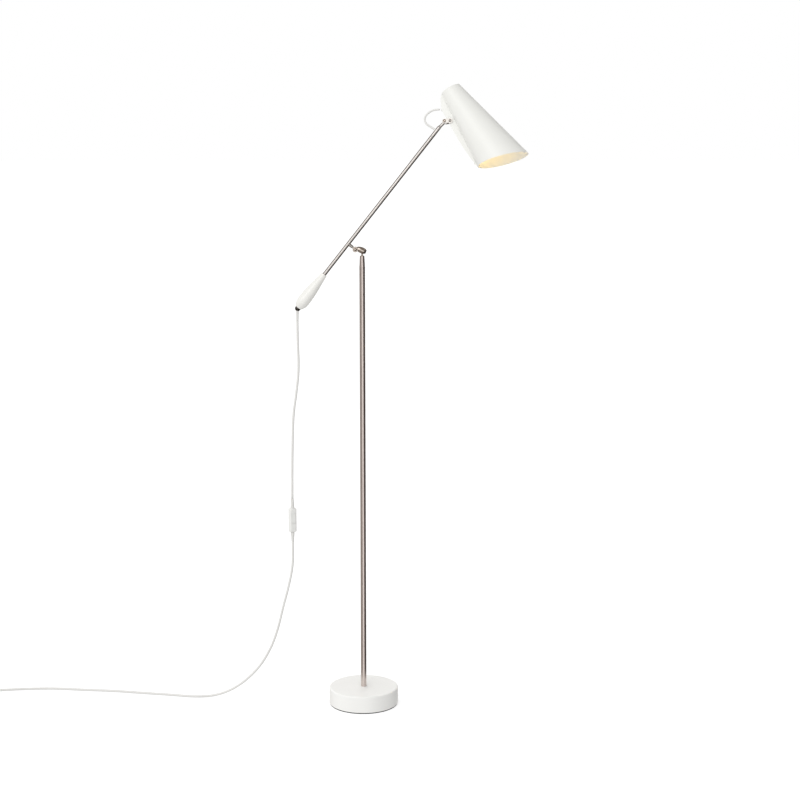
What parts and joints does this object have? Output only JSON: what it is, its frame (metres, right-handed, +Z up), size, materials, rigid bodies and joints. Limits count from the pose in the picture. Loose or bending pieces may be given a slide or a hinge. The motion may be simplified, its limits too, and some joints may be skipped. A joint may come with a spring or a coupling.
{
  "type": "adjustable arm floor lamp",
  "caption": "Floor lamp with a round weighted base, a slim steel pole, a tilting counterweighted arm and a swivelling white cone shade.",
  "frame": {"origin": "on the floor, on the pole's axis, under the middle of the base", "axes": "+Z up along the pole, +X towards the side that the shade hangs over, +Y to the back"},
  "size_m": [1.2431, 0.2299, 1.3345],
  "materials": {
    "white_enamel": "satin white powder coat",
    "shade_enamel": "gloss white stove enamel",
    "counterweight_enamel": "gloss white enamel over cast metal",
    "brushed_nickel": "fine brushed, warm nickel tone",
    "polished_nickel": "polished nickel plate",
    "zinc_steel": "zinc plated",
    "cast_iron": "sand cast, black painted",
    "black_foam": "ribbed anti-slip foam rubber",
    "bronze": "sintered bronze",
    "nylon": "natural nylon",
    "white_cord": "matt white PVC sheath",
    "white_plastic": "semi-gloss moulded white",
    "holder_plastic": "moulded white thermoset",
    "contact_brass": "plain",
    "bulb_glass": "opal inside coating"
  },
  "bodies": {
    "base": {"base_cover": "white_enamel", "base_weight": "cast_iron", "base_plate": "zinc_steel", "base_pad": "black_foam", "base_plate_screws": "zinc_steel", "tie_washer": "zinc_steel", "tie_nut": "zinc_steel", "pole_tube": "brushed_nickel", "pole_foot_plug": "zinc_steel", "pole_tip": "brushed_nickel", "swivel_bush": "bronze"},
    "swivel_head": {"pole_knuckle": "polished_nickel", "swivel_clip": "zinc_steel", "knuckle_screw": "polished_nickel", "knuckle_spring_washer": "zinc_steel", "knuckle_nut": "polished_nickel", "mains_cord_drop": "white_cord", "mains_cord_floor": "white_cord", "mains_cord_coil": "white_cord", "mains_cord_tail": "white_cord", "coil_tie": "white_plastic", "switch_front_shell": "white_plastic", "switch_back_shell": "white_plastic", "switch_screws": "zinc_steel", "switch_strain_reliefs": "white_cord", "switch_contacts": "contact_brass", "plug_body": "white_plastic", "plug_pins": "contact_brass", "plug_strain_relief": "white_cord"},
    "rocker": {"switch_rocker": "white_plastic"},
    "arm": {"arm_knuckle": "polished_nickel", "knuckle_friction_washers": "nylon", "arm_tube": "brushed_nickel", "counterweight": "counterweight_enamel", "counterweight_screw": "zinc_steel", "counterweight_cap": "polished_nickel", "cord_sleeve": "white_cord", "arm_lead": "white_cord", "ferrule_screw": "zinc_steel"},
    "arm_end": {"shade_knuckle": "polished_nickel", "tilt_friction_washers": "nylon", "shade_lead_loop": "white_cord", "outlet_grommet": "white_plastic"},
    "shade": {"shade_shell": "shade_enamel", "shade_spine": "shade_enamel", "shade_bracket": "polished_nickel", "tilt_screw": "polished_nickel", "tilt_nut": "polished_nickel", "bracket_rivet": "polished_nickel", "spine_rivets": "polished_nickel", "spine_grommet": "white_plastic", "shade_spider": "zinc_steel", "holder_nipple": "zinc_steel", "holder_cup": "holder_plastic", "holder_skirt": "holder_plastic", "holder_core": "holder_plastic", "bulb_cap": "contact_brass", "bulb_glass": "bulb_glass", "holder_lead": "white_cord"}
  },
  "joints": [
    {"name": "arm_swivel", "type": "hinge", "parent": "base", "child": "swivel_head", "pos_m": [0, 0, 0.98], "axis": [0, 0, 1], "range_deg": [-170, 170]},
    {"name": "arm_tilt", "type": "hinge", "parent": "swivel_head", "child": "arm", "pos_m": [-0.0142, 0, 0.9933], "axis": [0, -1, 0], "range_deg": [-50, 30], "deforming": ["mains_cord_drop"]},
    {"name": "shade_swivel", "type": "hinge", "parent": "arm", "child": "arm_end", "pos_m": [0.16119, 0, 1.24658], "axis": [0.6184, 0, 0.7859], "range_deg": [-75, 75]},
    {"name": "shade_tilt", "type": "hinge", "parent": "arm_end", "child": "shade", "pos_m": [0.17307, -0.00085, 1.25771], "axis": [0.2558, 0.9455, -0.2013], "range_deg": [-60, 55], "deforming": ["shade_lead_loop"]},
    {"name": "switch_rock", "type": "hinge", "parent": "swivel_head", "child": "rocker", "pos_m": [-0.15033, -0.00352, 0.4156], "axis": [0.9135, 0.4067, 0], "range_deg": [0, 10]}
  ]
}
